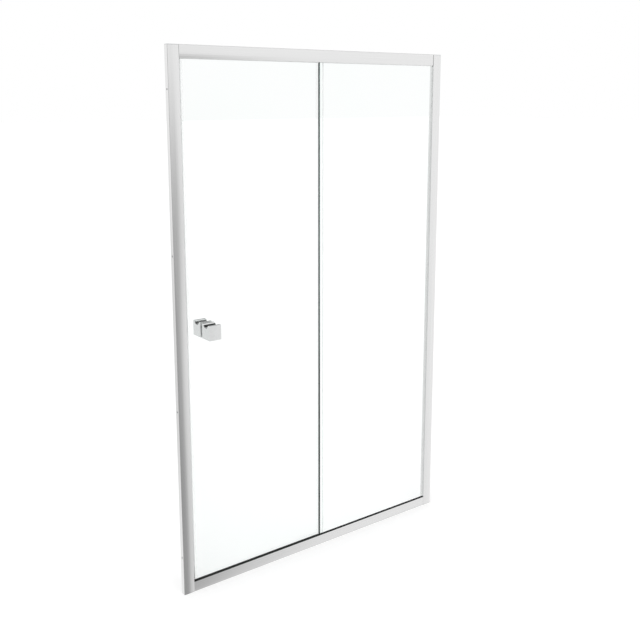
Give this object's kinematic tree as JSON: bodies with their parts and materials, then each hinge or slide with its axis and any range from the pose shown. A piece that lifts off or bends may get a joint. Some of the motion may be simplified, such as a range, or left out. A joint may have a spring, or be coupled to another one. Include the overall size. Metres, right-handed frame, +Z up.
{
  "type": "sliding shower door",
  "caption": "Framed sliding shower door: a glass pane on hidden top rollers slides behind a fixed pane between two wall jambs, with a cube knob on each side.",
  "frame": {"origin": "on the tray, in the middle of the door's width and in the middle plane of the sliding pane", "axes": "+X along the door towards the fixed pane's jamb, +Y into the shower, +Z up"},
  "size_m": [1.2, 0.114, 1.9],
  "materials": {
    "polished_aluminium": "bright anodised",
    "anodised_aluminium": "satin anodised",
    "silver_plastic": "silver",
    "stainless_steel": "plain",
    "clear_glass": "clear toughened, polished edges",
    "black_rubber": "matt",
    "grey_vinyl": "matt",
    "white_vinyl": "translucent",
    "chrome_plate": "mirror",
    "white_nylon": "moulded",
    "grey_nylon": "moulded"
  },
  "bodies": {
    "frame": {"wall_channel_left": "anodised_aluminium", "wall_channel_right": "anodised_aluminium", "jamb_left": "polished_aluminium", "jamb_right": "polished_aluminium", "jamb_cap_left": "silver_plastic", "jamb_cap_right": "silver_plastic", "jamb_screws_left": "stainless_steel", "jamb_screws_right": "stainless_steel", "screw_caps_left": "silver_plastic", "screw_caps_right": "silver_plastic", "corner_screws": "stainless_steel", "top_rail": "polished_aluminium", "bottom_rail": "polished_aluminium", "fixed_glass": "clear_glass", "jamb_gasket": "white_vinyl", "top_gasket": "black_rubber", "sill_gasket": "black_rubber", "setting_blocks": "black_rubber", "threshold_gasket": "black_rubber", "top_infill": "polished_aluminium", "overlap_seal": "grey_vinyl", "strike_seal": "white_vinyl", "door_stop_open": "black_rubber", "door_stop_closed": "black_rubber"},
    "door": {"sliding_glass": "clear_glass", "leading_edge_seal": "white_vinyl", "bottom_edge_channel": "anodised_aluminium", "knob_outer": "chrome_plate", "knob_inner": "chrome_plate", "knob_washers": "black_rubber", "knob_bush": "white_nylon", "knob_screw": "stainless_steel", "knob_grub_screws": "stainless_steel", "hanger_studs": "stainless_steel", "hanger_bushes": "white_nylon", "hanger_washers": "white_nylon", "hanger_collars": "stainless_steel", "bearing_inner_rings": "stainless_steel", "roller_keeper_screws": "stainless_steel", "guide_housing_left": "grey_nylon", "guide_housing_right": "grey_nylon", "guide_screws": "stainless_steel", "guide_spring_left": "stainless_steel", "guide_spring_right": "stainless_steel"},
    "top_roller_left": {"roller_wheel_left": "white_nylon", "bearing_outer_left": "stainless_steel", "bearing_balls_left": "stainless_steel"},
    "top_roller_right": {"roller_wheel_right": "white_nylon", "bearing_outer_right": "stainless_steel", "bearing_balls_right": "stainless_steel"},
    "guide_slider_left": {"guide_slider_left": "white_nylon", "guide_axle_left": "stainless_steel"},
    "guide_slider_right": {"guide_slider_right": "white_nylon", "guide_axle_right": "stainless_steel"},
    "guide_wheel_left": {"guide_wheel_left": "white_nylon"},
    "guide_wheel_right": {"guide_wheel_right": "white_nylon"}
  },
  "joints": [
    {"name": "door_slide", "type": "slide", "parent": "frame", "child": "door", "axis": [1, 0, 0], "range_m": [0, 0.44]},
    {"name": "top_roller_left_spin", "type": "hinge", "parent": "door", "child": "top_roller_left", "pos_m": [-0.49, 0.011, 1.8733], "axis": [0, 1, 0], "range_deg": [-10, 2302]},
    {"name": "top_roller_right_spin", "type": "hinge", "parent": "door", "child": "top_roller_right", "pos_m": [-0.036, 0.011, 1.8733], "axis": [0, 1, 0], "range_deg": [-10, 2302]},
    {"name": "guide_left_lift", "type": "slide", "parent": "door", "child": "guide_slider_left", "axis": [0, 0, 1], "range_m": [0, 0.0035], "stiffness_N_per_m": 600, "springref_m": -0.003, "deforming": ["guide_spring_left"]},
    {"name": "guide_right_lift", "type": "slide", "parent": "door", "child": "guide_slider_right", "axis": [0, 0, 1], "range_m": [0, 0.0035], "stiffness_N_per_m": 600, "springref_m": -0.003, "deforming": ["guide_spring_right"]},
    {"name": "guide_wheel_left_spin", "type": "hinge", "parent": "guide_slider_left", "child": "guide_wheel_left", "pos_m": [-0.48, 0.0155, 0.0153], "axis": [0, 1, 0], "range_deg": [-10, 4212]},
    {"name": "guide_wheel_right_spin", "type": "hinge", "parent": "guide_slider_right", "child": "guide_wheel_right", "pos_m": [-0.046, 0.0155, 0.0153], "axis": [0, 1, 0], "range_deg": [-10, 4212]}
  ],
  "couplings": [
    {"joint": "top_roller_left_spin", "follows": "door_slide", "rad_per_m": 90.909},
    {"joint": "top_roller_right_spin", "follows": "door_slide", "rad_per_m": 90.909},
    {"joint": "guide_wheel_left_spin", "follows": "door_slide", "rad_per_m": 166.67},
    {"joint": "guide_wheel_right_spin", "follows": "door_slide", "rad_per_m": 166.67}
  ]
}
